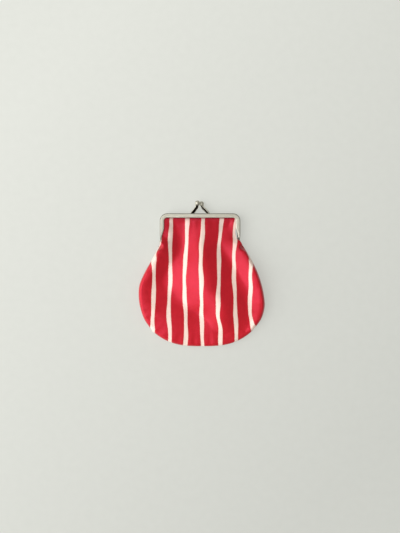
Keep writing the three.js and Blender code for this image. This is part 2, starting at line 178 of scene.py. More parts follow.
def makeCanvas(name):
    material, tree = newMaterial(name)
    uv = addNode(tree, "ShaderNodeUVMap", uv_map="flat")
    flat = addNode(tree, "ShaderNodeMapping", {"Vector": uv.outputs[0], "Scale": [canvas["uvSpan"]] * 3})
    place = flat.outputs[0]  # mm on the flat cloth
    waves = {"Vector": place, "Scale": canvas["waveTurn"] / canvas["threadPitch"],
             "Distortion": 0.6, "Detail": 1.0, "Detail Scale": 0.4}
    warp = addNode(tree, "ShaderNodeTexWave", waves, bands_direction="X")
    weft = addNode(tree, "ShaderNodeTexWave", waves, bands_direction="Y")
    threads = addNode(tree, "ShaderNodeMath", {0: warp.outputs["Fac"], 1: weft.outputs["Fac"]},
                      operation="MULTIPLY")
    mottle = addNode(tree, "ShaderNodeTexNoise", {
        "Vector": place, "Scale": canvas["mottlesPerMm"], "Detail": 4.0, "Roughness": 0.6})
    slub = addNode(tree, "ShaderNodeTexNoise", {
        "Vector": place, "Scale": canvas["slubsPerMm"], "Detail": 3.0, "Roughness": 0.7})

    # The print: soft, slightly ragged stripes
    stripe = addNode(tree, "ShaderNodeAttribute", attribute_name="stripe")  # mm inside the stripe's edge
    ragged = addNode(tree, "ShaderNodeMath", {
        0: slub.outputs["Fac"], 1: canvas["edgeRagged"], 2: -0.5 * canvas["edgeRagged"]},
        operation="MULTIPLY_ADD")
    edge = addNode(tree, "ShaderNodeMath", {0: stripe.outputs["Fac"], 1: ragged.outputs[0]},
                   operation="ADD")
    mask = addNode(tree, "ShaderNodeMapRange", {
        "Value": edge.outputs[0], "From Min": -canvas["edgeSoft"], "From Max": canvas["edgeSoft"]},
        interpolation_type="SMOOTHSTEP")
    red = addNode(tree, "ShaderNodeMix", {
        mixShare: mottle.outputs["Fac"], mixFirst: colour(canvas["redDeep"]),
        mixSecond: colour(canvas["red"])}, data_type="RGBA")
    cream = addNode(tree, "ShaderNodeMix", {
        mixShare: mottle.outputs["Fac"], mixFirst: colour(canvas["creamDeep"]),
        mixSecond: colour(canvas["cream"])}, data_type="RGBA")
    printed = addNode(tree, "ShaderNodeMix", {
        mixShare: mask.outputs[0], mixFirst: red.outputs[mixOut], mixSecond: cream.outputs[mixOut]},
        data_type="RGBA")

    # Painted shade: darker between the threads, in a line along the top bar and in a zone round the frame
    shade = addNode(tree, "ShaderNodeMapRange", {
        "Value": threads.outputs[0], "To Min": 0.9, "To Max": 1.06})
    threadShaded = addNode(tree, "ShaderNodeMix", {
        mixShare: 1.0, mixFirst: printed.outputs[mixOut], mixSecond: shade.outputs[0]},
        data_type="RGBA", blend_type="MULTIPLY")
    paintedShade = addNode(tree, "ShaderNodeAttribute", attribute_name="paintedShade")
    unshaded = addNode(tree, "ShaderNodeMath", {0: 1.0, 1: paintedShade.outputs["Fac"]}, operation="SUBTRACT")
    shadedPrint = addNode(tree, "ShaderNodeMix", {
        mixShare: 1.0, mixFirst: threadShaded.outputs[mixOut], mixSecond: unshaded.outputs[0]},
        data_type="RGBA", blend_type="MULTIPLY")

    height = addNode(tree, "ShaderNodeMath", {
        0: slub.outputs["Fac"], 1: canvas["slubHeight"], 2: threads.outputs[0]}, operation="MULTIPLY_ADD")
    bump = addNode(tree, "ShaderNodeBump", {
        "Height": height.outputs[0], "Strength": 0.35, "Distance": canvas["threadHeight"] * mm})
    surface = addNode(tree, "ShaderNodeBsdfPrincipled", {
        "Base Color": shadedPrint.outputs[mixOut], "Roughness": canvas["roughness"], "Normal": bump.outputs[0],
        "Specular IOR Level": canvas["shine"], "Specular Tint": colour(canvas["gleam"])})
    addNode(tree, "ShaderNodeOutputMaterial", {"Surface": surface.outputs[0]})
    return material


# Nickel plate on rolled steel: a satin, slightly warm metal, smudged by handling and with fine lines from
# rubbing, with a painted dark reflection over its rounded edges and painted shade inside the stamped arms.
nickelPlate = {
    "bright": "cbc8bb", "dull": "bbb8aa", "edgeShade": "838078", "bare": "2a2622",
    "roughLow": 0.48, "roughHigh": 0.62,
    "smudge": 6.0,  # mm across
    "rub": 0.35, "rubStretch": 0.12, "rubDepth": 0.05,  # mm wide, width over length, mm deep
    "edgePower": 6,  # how late the painted dark reflection fades towards the outer wall
}


def makeNickel(name):
    material, tree = newMaterial(name)
    coords = addNode(tree, "ShaderNodeTexCoord")
    place = addNode(tree, "ShaderNodeMapping", {
        "Vector": coords.outputs["Object"], "Scale": [1 / mm] * 3})
    smudge = addNode(tree, "ShaderNodeTexNoise", {
        "Vector": place.outputs[0], "Scale": 1 / nickelPlate["smudge"], "Detail": 5.0, "Roughness": 0.65})
    stretched = addNode(tree, "ShaderNodeMapping", {
        "Vector": place.outputs[0], "Scale": (nickelPlate["rubStretch"], 1.0, 1.0)})
    rub = addNode(tree, "ShaderNodeTexNoise", {
        "Vector": stretched.outputs[0], "Scale": 1 / nickelPlate["rub"], "Detail": 2.0})
    tone = addNode(tree, "ShaderNodeMix", {
        mixShare: smudge.outputs["Fac"], mixFirst: colour(nickelPlate["dull"]),
        mixSecond: colour(nickelPlate["bright"])}, data_type="RGBA")
    rough = addNode(tree, "ShaderNodeMapRange", {
        "Value": smudge.outputs["Fac"], "From Min": 0.3, "From Max": 0.7,
        "To Min": nickelPlate["roughHigh"], "To Max": nickelPlate["roughLow"]})
    edge = addNode(tree, "ShaderNodeAttribute", attribute_name="edge")  # 1 on the rolled outer edges, where a dark reflection is painted
    edgeShade = addNode(tree, "ShaderNodeMix", {
        mixShare: edge.outputs["Fac"], mixFirst: tone.outputs[mixOut],
        mixSecond: colour(nickelPlate["edgeShade"])}, data_type="RGBA")
    bare = addNode(tree, "ShaderNodeAttribute", attribute_name="bare")  # 1 inside the stamped arms, where shade is painted near black
    steel = addNode(tree, "ShaderNodeMix", {
        mixShare: bare.outputs["Fac"], mixFirst: edgeShade.outputs[mixOut],
        mixSecond: colour(nickelPlate["bare"])}, data_type="RGBA")
    bump = addNode(tree, "ShaderNodeBump", {
        "Height": rub.outputs["Fac"], "Strength": 0.12, "Distance": nickelPlate["rubDepth"] * mm})
    surface = addNode(tree, "ShaderNodeBsdfPrincipled", {
        "Base Color": steel.outputs[mixOut], "Metallic": 1.0, "Roughness": rough.outputs[0],
        "Normal": bump.outputs[0]})
    addNode(tree, "ShaderNodeOutputMaterial", {"Surface": surface.outputs[0]})
    return material


canvasMaterial = makeCanvas("printed_canvas")
nickelMaterial = makeNickel("nickel_plate")
print("materials made")


# The hinged frame: two rolled strips, each a channel that opens inwards on the cloth
strip = {"width": 64.6, "band": 3.5, "depth": 3.8, "apart": 0.4, "slot": 2.4, "slotDepth": 2.6,
         "corner": 6.0, "bead": 0.6, "lip": 0.5,
         "lipSteps": 6, "beadSteps": 10, "legSteps": 60, "bendSteps": 18, "barSteps": 40}
halfWidth = strip["width"] / 2
lipEdge = halfWidth - strip["band"]
bandMiddle = halfWidth - strip["band"] / 2
backPlane = strip["depth"] / 2
frontPlane = 1.5 * strip["depth"] + strip["apart"]
hingeHeight = strip["depth"] + strip["apart"] / 2


def stripSection():
    # The channel's outline, with x out of the pouch and y across the strip's thickness: quarter circles
    # round its four edges and a slot cut in from its inner side.
    b, d, s = strip["band"] / 2, strip["depth"] / 2, strip["slot"] / 2
    bead, lip, deep = strip["bead"], strip["lip"], strip["slotDepth"]
    return np.concatenate([
        [[-b, -s]],
        arc(-b + lip, -d + lip, lip, 0.5, 0.75, strip["lipSteps"]),
        arc(b - bead, -d + bead, bead, 0.75, 1.0, strip["beadSteps"]),
        arc(b - bead, d - bead, bead, 0.0, 0.25, strip["beadSteps"]),
        arc(-b + lip, d - lip, lip, 0.25, 0.5, strip["lipSteps"]),
        [[-b, s], [-b + deep, s], [-b + deep, -s]],
    ])


def stripPath(legEnd):
    # Stations along one leg, a quarter circle, the top bar and the same again mirrored, with the way
    # outwards at each. On a leg they crowd towards the hinge, as 1 - cos t.
    corner, inset = strip["corner"], halfWidth - strip["corner"]
    radius = corner - strip["band"] / 2
    crowded = 1 - np.cos(np.linspace(0, np.pi / 2, strip["legSteps"]))
    legY = -legEnd + (legEnd - corner) * crowded
    turn = np.linspace(np.pi, np.pi / 2, strip["bendSteps"])[1:]
    barX = np.linspace(-inset, inset, strip["barSteps"])[1:-1]
    leg = np.stack([np.full_like(legY, -bandMiddle), legY], axis=1)
    bend = np.stack([-inset + radius * np.cos(turn), -corner + radius * np.sin(turn)], axis=1)
    bar = np.stack([barX, np.full_like(barX, -strip["band"] / 2)], axis=1)
    legOut = np.tile([-1.0, 0.0], (len(leg), 1))
    bendOut = np.stack([np.cos(turn), np.sin(turn)], axis=1)
    barOut = np.tile([0.0, 1.0], (len(bar), 1))
    flip = np.array([-1.0, 1.0])
    place = np.concatenate([leg, bend, bar, (bend * flip)[::-1], (leg * flip)[::-1]])
    out = np.concatenate([legOut, bendOut, barOut, (bendOut * flip)[::-1], (legOut * flip)[::-1]])
    return place, out


# lipsEnd to wallFrom: the lips are trimmed away on a slant; jogFrom to jogTo: the wall steps in to the
# lug's faces; bendFrom: it starts towards the hinge, no taller than its neck until it reaches the rivet
frontLeg = {"lipsEnd": 12.0, "wallFrom": 20.8, "jogFrom": 16.0, "jogTo": 21.0, "bendFrom": 18.5,
            "neck": 1.75, "lug": (31.2, 31.9)}
backLeg = {"lipsEnd": 9.0, "wallFrom": 13.0, "jogFrom": 10.0, "jogTo": 14.0, "bendFrom": 15.5,
           "neck": 0.95, "lug": (30.2, 30.9)}
# The wall narrows to its neck over neckReach and widens to the lug over roundReach, from roundFrom above
# the rivet. tip: share of the round end that is built, so that a narrow face closes it; lipInside: share
# of the wall's thickness by which the trimmed lips stay inside it
lug = {"radius": 1.8, "neckReach": 3.0, "roundFrom": 3.0, "roundReach": 2.2, "tip": 0.97, "lipInside": 0.05}


def makeBow(name, node, plane, leg):
    # The section is carried along the path. Down each leg its lips shrink to the outer wall, which
    # becomes a flat lug that leans over to the hinge and ends in a half circle.
    section = stripSection()
    place, out = stripPath(hingeBelow + lug["radius"] * lug["tip"])
    onLeg = np.abs(out[:, 0]) == 1
    below = np.where(onLeg, -place[:, 1], 0)[:, None]
    trim = np.clip((below - leg["lipsEnd"]) / (leg["wallFrom"] - leg["lipsEnd"]), 0, 1)
    jog = ease((below - leg["jogFrom"]) / (leg["jogTo"] - leg["jogFrom"]))
    lean = ease((below - leg["bendFrom"]) / (hingeBelow - leg["bendFrom"]))
    wallIn, wallOut = strip["slotDepth"] - strip["band"] / 2, strip["band"] / 2
    faceIn = mixTo(wallIn, leg["lug"][0] - bandMiddle, jog)
    faceOut = mixTo(wallOut, leg["lug"][1] - bandMiddle, jog)
    toNeck = ease((below - leg["wallFrom"]) / lug["neckReach"])
    toRound = ease((below - hingeBelow + lug["roundFrom"]) / lug["roundReach"])
    past = np.clip(below - hingeBelow, 0, lug["radius"])
    halfDepth = strip["depth"] / 2
    tall = mixTo(mixTo(halfDepth, leg["neck"], toNeck), lug["radius"], toRound)
    tall = tall * np.sqrt(1 - (past / lug["radius"]) ** 2)
    inWall = np.clip((section[:, 0] - wallIn) / (wallOut - wallIn), -lug["lipInside"], 1)
    outwards = mixTo(section[:, 0], mixTo(faceIn, faceOut, inWall), trim)
    upwards = mixTo(plane, hingeHeight, lean) + section[:, 1] * mixTo(1, tall / halfDepth, trim)
    points = np.stack([place[:, :1] + out[:, :1] * outwards,
                       place[:, 1:] + out[:, 1:] * outwards,
                       upwards], axis=-1)
    rows, columns = points.shape[:2]
    faces = [face[::-1] for face in tubeFaces(rows, columns)]
    bow = addPiece(name, node, points, faces, nickelMaterial)
    # Painted dark reflection on the rounded outer edges, 1 - t^6 across each, none on the flat wall
    across = np.clip((section[:, 0] - wallOut) / strip["bead"] + 1, 0, 1)
    edgeShade = np.where(across > 0, 1 - across ** nickelPlate["edgePower"], 0)
    addValues(bow, "edge", np.tile(edgeShade, rows))


makeBow("front_bow", "front_frame", frontPlane, frontLeg)
makeBow("back_bow", "back_frame", backPlane, backLeg)

# The kiss-lock: on each half a stamped arm, a channel with a ball at its tip. The two balls have snapped
# past each other. opens is the way that an arm's channel looks, up and towards the other arm
knob = {"radius": 1.95, "arm": 1.5, "wall": 0.4, "around": 190.0,  # mm, and degrees of the arm's ring
        "armSteps": 60, "ringSteps": 30, "lipSteps": 8, "ballRows": 24, "ballColumns": 40, "pole": 0.02}
armOfBackHalf = {"opens": (0.5, 0.0, 0.86), "line": [
    (-6.3, -0.45, 2.1), (-6.1, 0.6, 2.3), (-4.7, 2.4, 3.3), (-2.6, 5.2, 4.8), (-2.1, 8.5, 5.7)]}
armOfFrontHalf = {"opens": (-0.9, 0.0, 0.43), "line": [
    (6.2, -0.45, 5.8), (6.0, 0.6, 5.6), (4.4, 2.4, 4.7), (1.9, 5.1, 3.4), (1.1, 8.2, 2.5)]}


def makeKnob(name, node, arm):
    # The arm: an arc of a ring with rounded lips, carried along a smooth curve with its gap turned up
    # and inwards. The ball: a sphere about the curve's end.
    line, opens = np.array(arm["line"]), np.array(arm["opens"])
    index = np.arange(len(line))
    at = np.linspace(0, index[-1], knob["armSteps"])
    middle = np.stack([curveThrough(index, line[:, k], at) for k in range(3)], axis=1)
    way = unit(np.gradient(middle, axis=0))
    gap = unit(opens - (way @ opens)[:, None] * way)
    side = np.cross(way, gap)
    half = knob["around"] / 360 / 2  # in turns
    lip = knob["wall"] / 2
    lips = arc(0, 0, knob["arm"] - lip, 0.5 + half, 0.5 - half, 2)
    section = np.concatenate([
        arc(0, 0, knob["arm"], 0.5 - half, 0.5 + half, knob["ringSteps"]),
        arc(*lips[0], lip, 0.5 + half, 1 + half, knob["lipSteps"])[1:-1],
        arc(0, 0, knob["arm"] - knob["wall"], 0.5 + half, 0.5 - half, knob["ringSteps"]),
        arc(*lips[1], lip, -half, 0.5 - half, knob["lipSteps"])[1:-1]])
    innerArc = knob["ringSteps"] + knob["lipSteps"] - 2  # where it starts in the section
    inside = np.zeros(len(section))
    inside[innerArc + 1:innerArc + knob["ringSteps"] - 1] = 1
    points = middle[:, None] + section[:, :1] * gap[:, None] + section[:, 1:] * side[:, None]
    rows, columns = points.shape[:2]
    turn, tip = np.meshgrid(np.linspace(0, 2 * np.pi, knob["ballColumns"], endpoint=False),
                            np.linspace(knob["pole"], np.pi - knob["pole"], knob["ballRows"]))
    ball = np.stack([np.sin(tip) * np.cos(turn), -np.sin(tip) * np.sin(turn), np.cos(tip)], axis=-1)
    ball = (middle[-1] + knob["radius"] * ball).reshape(-1, 3)
    faces = tubeFaces(rows, columns) + tubeFaces(knob["ballRows"], knob["ballColumns"], rows * columns)
    points = np.concatenate([points.reshape(-1, 3), ball])
    piece = addPiece(name, node, points, faces, nickelMaterial)
    # painted shade, near black, inside the arm's channel; none on the ball
    addValues(piece, "bare", np.concatenate([np.tile(inside, rows), np.zeros(len(ball))]))


makeKnob("back_knob", "back_frame", armOfBackHalf)
makeKnob("front_knob", "front_frame", armOfFrontHalf)

# A rivet through the lugs on each side: radii, the heads' thickness, and where its heads sit on the lugs,
# from the middle outwards. domeFrom leaves a small flat at the top of each head
rivet = {"shank": 0.6, "head": 1.4, "thick": 0.45, "inner": 29.9, "outer": 32.2,
         "around": 32, "domeSteps": 10, "domeFrom": 0.03}


def makeRivet(name, node, side):
    # A profile turned about the hinge's axis: a domed head, the shank and a second domed head.
    dome = np.linspace(rivet["domeFrom"], 1, rivet["domeSteps"]) * np.pi / 2
    headRadius = rivet["head"] * np.sin(dome)
    headRise = rivet["thick"] * np.cos(dome)
    shank = [rivet["shank"]] * 2
    radius = np.concatenate([headRadius, shank, headRadius[::-1]])[:, None]
    along = np.concatenate([rivet["inner"] - headRise, [rivet["inner"], rivet["outer"]],
                            (rivet["outer"] + headRise)[::-1]])[:, None]
    angle = np.linspace(0, 2 * np.pi, rivet["around"], endpoint=False)
    points = np.stack([np.repeat(side * along, rivet["around"], axis=1),
                       -hingeBelow + radius * np.cos(angle),
                       hingeHeight + side * radius * np.sin(angle)], axis=-1)
    addPiece(name, node, points, tubeFaces(len(along), rivet["around"]), nickelMaterial)


makeRivet("left_hinge", "left_rivet", -1)
makeRivet("right_hinge", "right_rivet", 1)
print("frame made")


# The cloth: two panels sewn round the sides and bottom, gripped by the frame at the top.
# Side edges, down from the frame: below, left, right, and how far out the back panel reaches
sideEdge = np.array([
    (1.3, 26.6, 26.6, 26.2), (2.7, 29.4, 29.4, 28.6), (4.4, 30.5, 30.5, 29.3), (7.0, 30.9, 30.9, 29.6),
    (14.0, 30.8, 28.1, 29.6), (20.4, 30.7, 29.7, 29.6), (22.8, 31.6, 32.2, 31.0), (27.0, 32.8, 34.6, 35.0),
    (36.5, 37.7, 40.4, 40.8), (47.0, 43.7, 45.5, 45.9), (57.0, 48.0, 48.9, 49.3), (66.0, 48.8, 50.8, 51.2),
    (75.0, 47.6, 51.4, 51.8), (85.0, 44.2, 48.5, 48.9), (94.2, 37.8, 41.5, 41.9)])
seamStart = 7  # row where the two panels meet
seamTop = sideEdge[seamStart, 0]
bottom = {"below": 106.2, "square": 3, "bendFrom": 60.0}  # bottom seam; square: how full its corners are
# half: from the middle surface to the outer face; softRows: blurs of the normals; the rest by name in mm
cloth = {"thick": 0.8, "half": 0.6, "softRows": 8, "foldBend": 0.22, "weaveReach": 12.0,
         "uneven": 0.08, "unevenShort": 18.0, "unevenLong": 44.0, "unevenWaves": 9, "seed": 7}
# The seam's height at the hinge and at the belly, how wide the panels roll over it, more softly in the
# mouth beside the hinge, and the radius by which their rims tuck under
seam = {"atHinge": 4.0, "atBelly": 2.7, "bellyBelow": 50.0, "apart": 0.06,
        "frontRoll": 2.2, "backRoll": 6.0, "mouthRoll": 4.0, "mouthReach": 4.0,
        "tuck": 0.85, "tuckInFrame": 0.12, "tuckFrom": 24.5, "tuckReach": 5.0, "tuckSteps": 6}
# Extra rows of points beside the hinge: their share, and from which row of sideEdge over how many
crowd = {"share": 0.25, "from": 5.8, "rows": 1.8, "samples": 4000}
# The channel's hold on the cloth: how far it reaches, and how high the front panel sits in its slot
grip = {"reach": 7.0, "lift": 0.4, "frontLegEnd": 17.5, "backLegEnd": 13.0}
# Waves of the front panel, with a phase that sways along them: gathers under the top bar and puckers
# at the seam
gathers = {"high": 0.12, "every": 6.1, "sway": 1.3, "swayReach": 5.0, "from": 4.0, "growReach": 4.0,
           "fadeFrom": 6.0, "fadeReach": 9.0, "sideFrom": 24.0, "sideReach": 4.0}
puckers = {"high": 0.12, "every": 7.4, "sway": 1.5, "swayReach": 9.0, "inward": 2.5, "reach": 5.0}

# Front panel: its mean height, by distance below the frame
swell = np.array([
    (2, 6.1), (14, 7.8), (30, 9.6), (46, 9.9), (62, 9.9), (78, 9.5), (94, 7.8), (106, 6.2)])
# Soft folds from left to right, crest and valley in turn: at eight distances below the frame the x of each
# fold's line, and how far the cloth stands above or below its mean height there
foldLevels = [8, 20, 32, 45, 58, 71, 84, 96]
foldLines = [(-29, -29, -34, -38.5, -47, -47, -33, -33), (-18, -16, -16.6, -25, -26.8, -16, 2, 10),
             (4.6, 0.4, 0.6, 2.4, 4.8, 14, 18, 20.6), (24, 15, 20, 28, 35.2, 40, 41, 35),
             (28, 29, 36, 41.2, 47, 48.5, 46, 40)]
foldRises = [(-0.6, 0.0, 2.2, 1.4, 1.4, 1.2, 1.2, 1.2), (-2.6, -2.9, -2.9, -3.0, -2.8, -2.6, -2.0, -0.5),
             (0.6, 1.1, 3.4, 5.5, 5.8, 5.2, 2.4, -1.2), (-1.8, -2.0, -2.0, -0.6, -0.8, -1.2, -2.2, -2.2),
             (-1.0, -1.0, 1.6, 2.8, 2.0, 0.8, -1.5, -1.6)]


def panelOutline(rows, columns, left, right):
    # A patch: s across, t down. Rows run from edge to edge and bend down towards the bottom seam by
    # (1 - |s|^3); columns and rows crowd towards the seams as sin(pi/2 t), and rows also where the
    # panels part beside the hinge.
    across = np.sin(np.linspace(-1, 1, columns) * np.pi / 2)
    index = np.arange(len(sideEdge))
    fine = np.linspace(0, index[-1], crowd["samples"])
    count = np.arcsin(fine / index[-1]) * 2 / np.pi
    count = count + crowd["share"] * ease((fine - crowd["from"]) / crowd["rows"])
    down = np.interp(np.linspace(0, count[-1], rows), count, fine)[:, None]
    corner = sideEdge[-1, 0]
    below = curveThrough(index, sideEdge[:, 0], down)
    x = mixTo(-curveThrough(index, left, down), curveThrough(index, right, down), (across + 1) / 2)
    bend = np.clip((below - bottom["bendFrom"]) / (corner - bottom["bendFrom"]), 0, None) ** 2
    y = -below - (bottom["below"] - corner) * bend * (1 - np.abs(across) ** bottom["square"])
    return x, y, int(np.searchsorted(down[:, 0], seamStart))


def seamDistance(x, y, start):
    # Distance in plan to the sewn line, and how far along that line the nearest point is.
    lineX, lineY = (np.concatenate([q[start:, 0], q[-1, 1:], q[start:-1, -1][::-1]]) for q in (x, y))
    step = np.hypot(np.diff(lineX), np.diff(lineY))
    mark = np.concatenate([[0], np.cumsum(step)])
    best, where = np.full(x.shape, np.inf), np.zeros(x.shape)
    for k in range(len(step)):
        dx, dy = lineX[k + 1] - lineX[k], lineY[k + 1] - lineY[k]
        t = np.clip(((x - lineX[k]) * dx + (y - lineY[k]) * dy) / step[k] ** 2, 0, 1)
        far = np.hypot(x - lineX[k] - t * dx, y - lineY[k] - t * dy)
        closer = far < best
        best, where = np.where(closer, far, best), np.where(closer, mark[k] + t * step[k], where)
    return best, where


def freeOfFrame(x, below, legEnd):  # 0 in the frame's channel, 1 in the open cloth
    fromLeg = np.hypot(np.clip(lipEdge - np.abs(x), 0, None), np.clip(below - legEnd, 0, None))
    return ease(fromLeg / grip["reach"]) * ease((below - strip["band"]) / grip["reach"])


def seamHeight(below):  # the seam drops from the hinge to the belly
    return mixTo(seam["atHinge"], seam["atBelly"], ease((below - seamTop) / (seam["bellyBelow"] - seamTop)))


def unevenness(x, y):  # a few slow sine waves of different lengths in random directions
    dice = np.random.default_rng(cloth["seed"])
    total = np.zeros_like(x)
    for length in np.linspace(cloth["unevenShort"], cloth["unevenLong"], cloth["unevenWaves"]):
        turn, phase = dice.uniform(0, np.pi), dice.uniform(0, 2 * np.pi)
        total = total + np.sin((x * np.cos(turn) + y * np.sin(turn)) * 2 * np.pi / length + phase)
    return cloth["uneven"] * total


def swayingWave(wave, along):  # a sine whose phase itself sways as a slower sine
    sway = wave["sway"] * np.sin(along / wave["swayReach"])
    return wave["high"] * np.sin(along * 2 * np.pi / wave["every"] + sway)


def turnedOver(inward, below, roll):
    # From 0 on the seam to 1 past its roll, as a quarter ellipse; near the hinge, where the panels
    # part, as a soft slope.
    mouth = ease((seamTop + seam["mouthReach"] - below) / seam["mouthReach"])
    rolled = np.sqrt(1 - (1 - np.clip(inward / roll, 0, 1)) ** 2)
    return mixTo(rolled, ease(inward / seam["mouthRoll"]), mouth)


def frontHeight(x, y, inward, where):
    # Mean height plus folds that slope from one fold line to the next, held down at the frame and
    # turned over at the seam as a quarter ellipse, with gathers at the frame and puckers at the seam.
    below = -y
    lines = [curveThrough(foldLevels, line, below) for line in foldLines]
    rises = [curveThrough(foldLevels, rise, below) for rise in foldRises]
    rise = rises[0] + sum(
        (rises[k + 1] - rises[k]) * slope((x - lines[k]) / (lines[k + 1] - lines[k]), cloth["foldBend"])
        for k in range(len(lines) - 1))
    free = freeOfFrame(x, below, grip["frontLegEnd"])
    fade = np.exp(-np.clip(below - gathers["fadeFrom"], 0, None) / gathers["fadeReach"])
    gather = swayingWave(gathers, x) * fade * ease((below - gathers["from"]) / gathers["growReach"])
    gather = gather * (1 - ease((np.abs(x) - gathers["sideFrom"]) / gathers["sideReach"]))
    nearSeam = np.exp(-((inward - puckers["inward"]) / puckers["reach"]) ** 2)
    pucker = swayingWave(puckers, where) * nearSeam
    openHeight = curveThrough(swell[:, 0], swell[:, 1], below) + rise + unevenness(x, y) + pucker
    held = mixTo(frontPlane + grip["lift"], openHeight, free) + gather
    edge = seamHeight(below) + seam["tuck"] + seam["apart"]
    return mixTo(edge, held, turnedOver(inward, below, seam["frontRoll"]))


def backHeight(x, y, inward, where):  # flat on the table inside its rolled edge
    held = mixTo(backPlane, cloth["half"], freeOfFrame(x, -y, grip["backLegEnd"]))
    edge = seamHeight(-y) - seam["tuck"] - seam["apart"]
    return mixTo(edge, held, turnedOver(inward, -y, seam["backRoll"]))


# Cream stripes on the flat cloth, in mm from the middle: a slow waver of place and width in all of them,
# and for each one its place, its shift at the frame, how far the neck's gathers draw it in and how far it
# leans out close under the frame, where the right edge has slipped from the channel
stripes = {"width": 3.1, "widthWaver": 0.45, "widthEvery": 33.0, "widthPhase": 3.1, "widthStart": 1.0,
           "waver": 0.4, "waverEvery": 58.0, "waverPhase": 2.4,
           "quick": 0.14, "quickEvery": 19.0, "quickPhase": 1.7,
           "topReach": 40.0, "neckFrom": 46.0, "neckReach": 26.0, "leanReach": 9.0,
           "endShift": 1.1, "endFrom": 62.0, "endReach": 40.0}
stripeRows = [(-38.6, 0.0, 5.5, 0.0), (-25.4, 2.3, 0.0, 0.0), (-12.6, 2.8, 0.0, 0.0), (0.9, 1.3, 0.0, 0.0),
              (14.9, 2.9, 0.0, 0.0), (28.2, -0.4, 0.0, 1.7), (41.2, 0.0, -6.5, 0.0)]


def stripeDistance(u, v):
    # How far inside the nearest stripe's edge a point of the flat cloth is: half the width there less
    # the distance from the stripe's line, both with sine waves along v.
    place, top, neck, lean = np.array(stripeRows).T[:, :, None]
    k = np.arange(len(stripeRows))[:, None]
    atTop = 1 - ease(v / stripes["topReach"])
    atNeck = ease((stripes["neckFrom"] - v) / stripes["neckReach"])
    atEnd = ease((v - stripes["endFrom"]) / stripes["endReach"])
    atFrame = np.exp(-(v / stripes["leanReach"]) ** 2)
    along = 2 * np.pi * v
    line = place + top * atTop + neck * atNeck + lean * atFrame + stripes["endShift"] * atEnd
    line = line + stripes["waver"] * np.sin(along / stripes["waverEvery"] + stripes["waverPhase"] * k)
    line = line + stripes["quick"] * np.sin(along / stripes["quickEvery"] + stripes["quickPhase"] * k * k)
    swing = np.sin(along / stripes["widthEvery"] + stripes["widthPhase"] * k + stripes["widthStart"])
    wide = stripes["width"] + stripes["widthWaver"] * swing
    return np.max(wide / 2 - np.abs(u - line), axis=0)


def fromMiddle(steps, x):  # running distance across each row, from where the row crosses x = 0
    along = np.pad(np.cumsum(steps, axis=1), ((0, 0), (1, 0)))
    return along - np.array([np.interp(0, *row) for row in zip(x, along)])[:, None]


def layFlat(x, y, middle, unrolled):
    # Distances over the cloth, u across and v down. The stripes' u leaves out the roll at the seam, so
    # that they run straight on to it; the weave's u takes it in, from a little below the seam's start.
    u = fromMiddle(np.hypot(np.diff(x, axis=1), np.diff(unrolled, axis=1)), x)
    rolledU = fromMiddle(np.linalg.norm(np.diff(middle, axis=1), axis=-1), x)
    weaveU = mixTo(u, rolledU, ease((-y - seamTop) / cloth["weaveReach"]))
    v = np.cumsum(np.linalg.norm(np.diff(middle, axis=0), axis=-1), axis=0)
    return u, weaveU, np.pad(v, ((1, 0), (0, 0)))


def tuckRim(rim, outline, lean, weave, facing):
    # The rim runs on off the edge and turns under on a small quarter circle: o sin a - n (1 - cos a), with
    # o the way out of the cloth, square to the rim and to its normal n; by the tuck along the seam, less
    # in the channel. The weave runs on over it.
    way = np.roll(outline, -1, axis=0) - np.roll(outline, 1, axis=0)
    out = unit(soften(facing * np.cross(way, lean), cloth["softRows"], closed=True))
    lean = unit(soften(lean, cloth["softRows"], closed=True))
    sewn = ease((-rim[:, 1] - seam["tuckFrom"]) / seam["tuckReach"])
    radius = mixTo(seam["tuckInFrame"], seam["tuck"], sewn)[:, None]
    sideways = np.abs(way[:, 1]) / (np.abs(way[:, 0]) + np.abs(way[:, 1]))
    weaveOut = np.stack([np.sign(weave[:, 0]) * sideways, 1 - sideways], axis=1)
    turns = np.linspace(0, np.pi / 2, seam["tuckSteps"])[1:]
    points = [rim + radius * (np.sin(a) * out - (1 - np.cos(a)) * lean) for a in turns]
    return points, [weave + radius * a * weaveOut for a in turns]


def paintedShadeAt(points):
    # Painted shade: a line along the top bar, as exp(-d), and a zone round the whole frame, as exp(-d^2).
    fromBar = np.clip(-points[:, 1] - strip["band"], 0, None)
    fromLip = np.clip(np.minimum(lipEdge - np.abs(points[:, 0]), -points[:, 1] - strip["band"]), 0, None)
    fromBow = np.hypot(fromLip, np.clip(-points[:, 1] - frontLeg["wallFrom"], 0, None))
    barShadowTone = canvas["barShadow"] * np.exp(-fromBar / canvas["barShadowReach"])
    return barShadowTone + canvas["frameShade"] * np.exp(-(fromBow / canvas["frameShadeReach"]) ** 2)


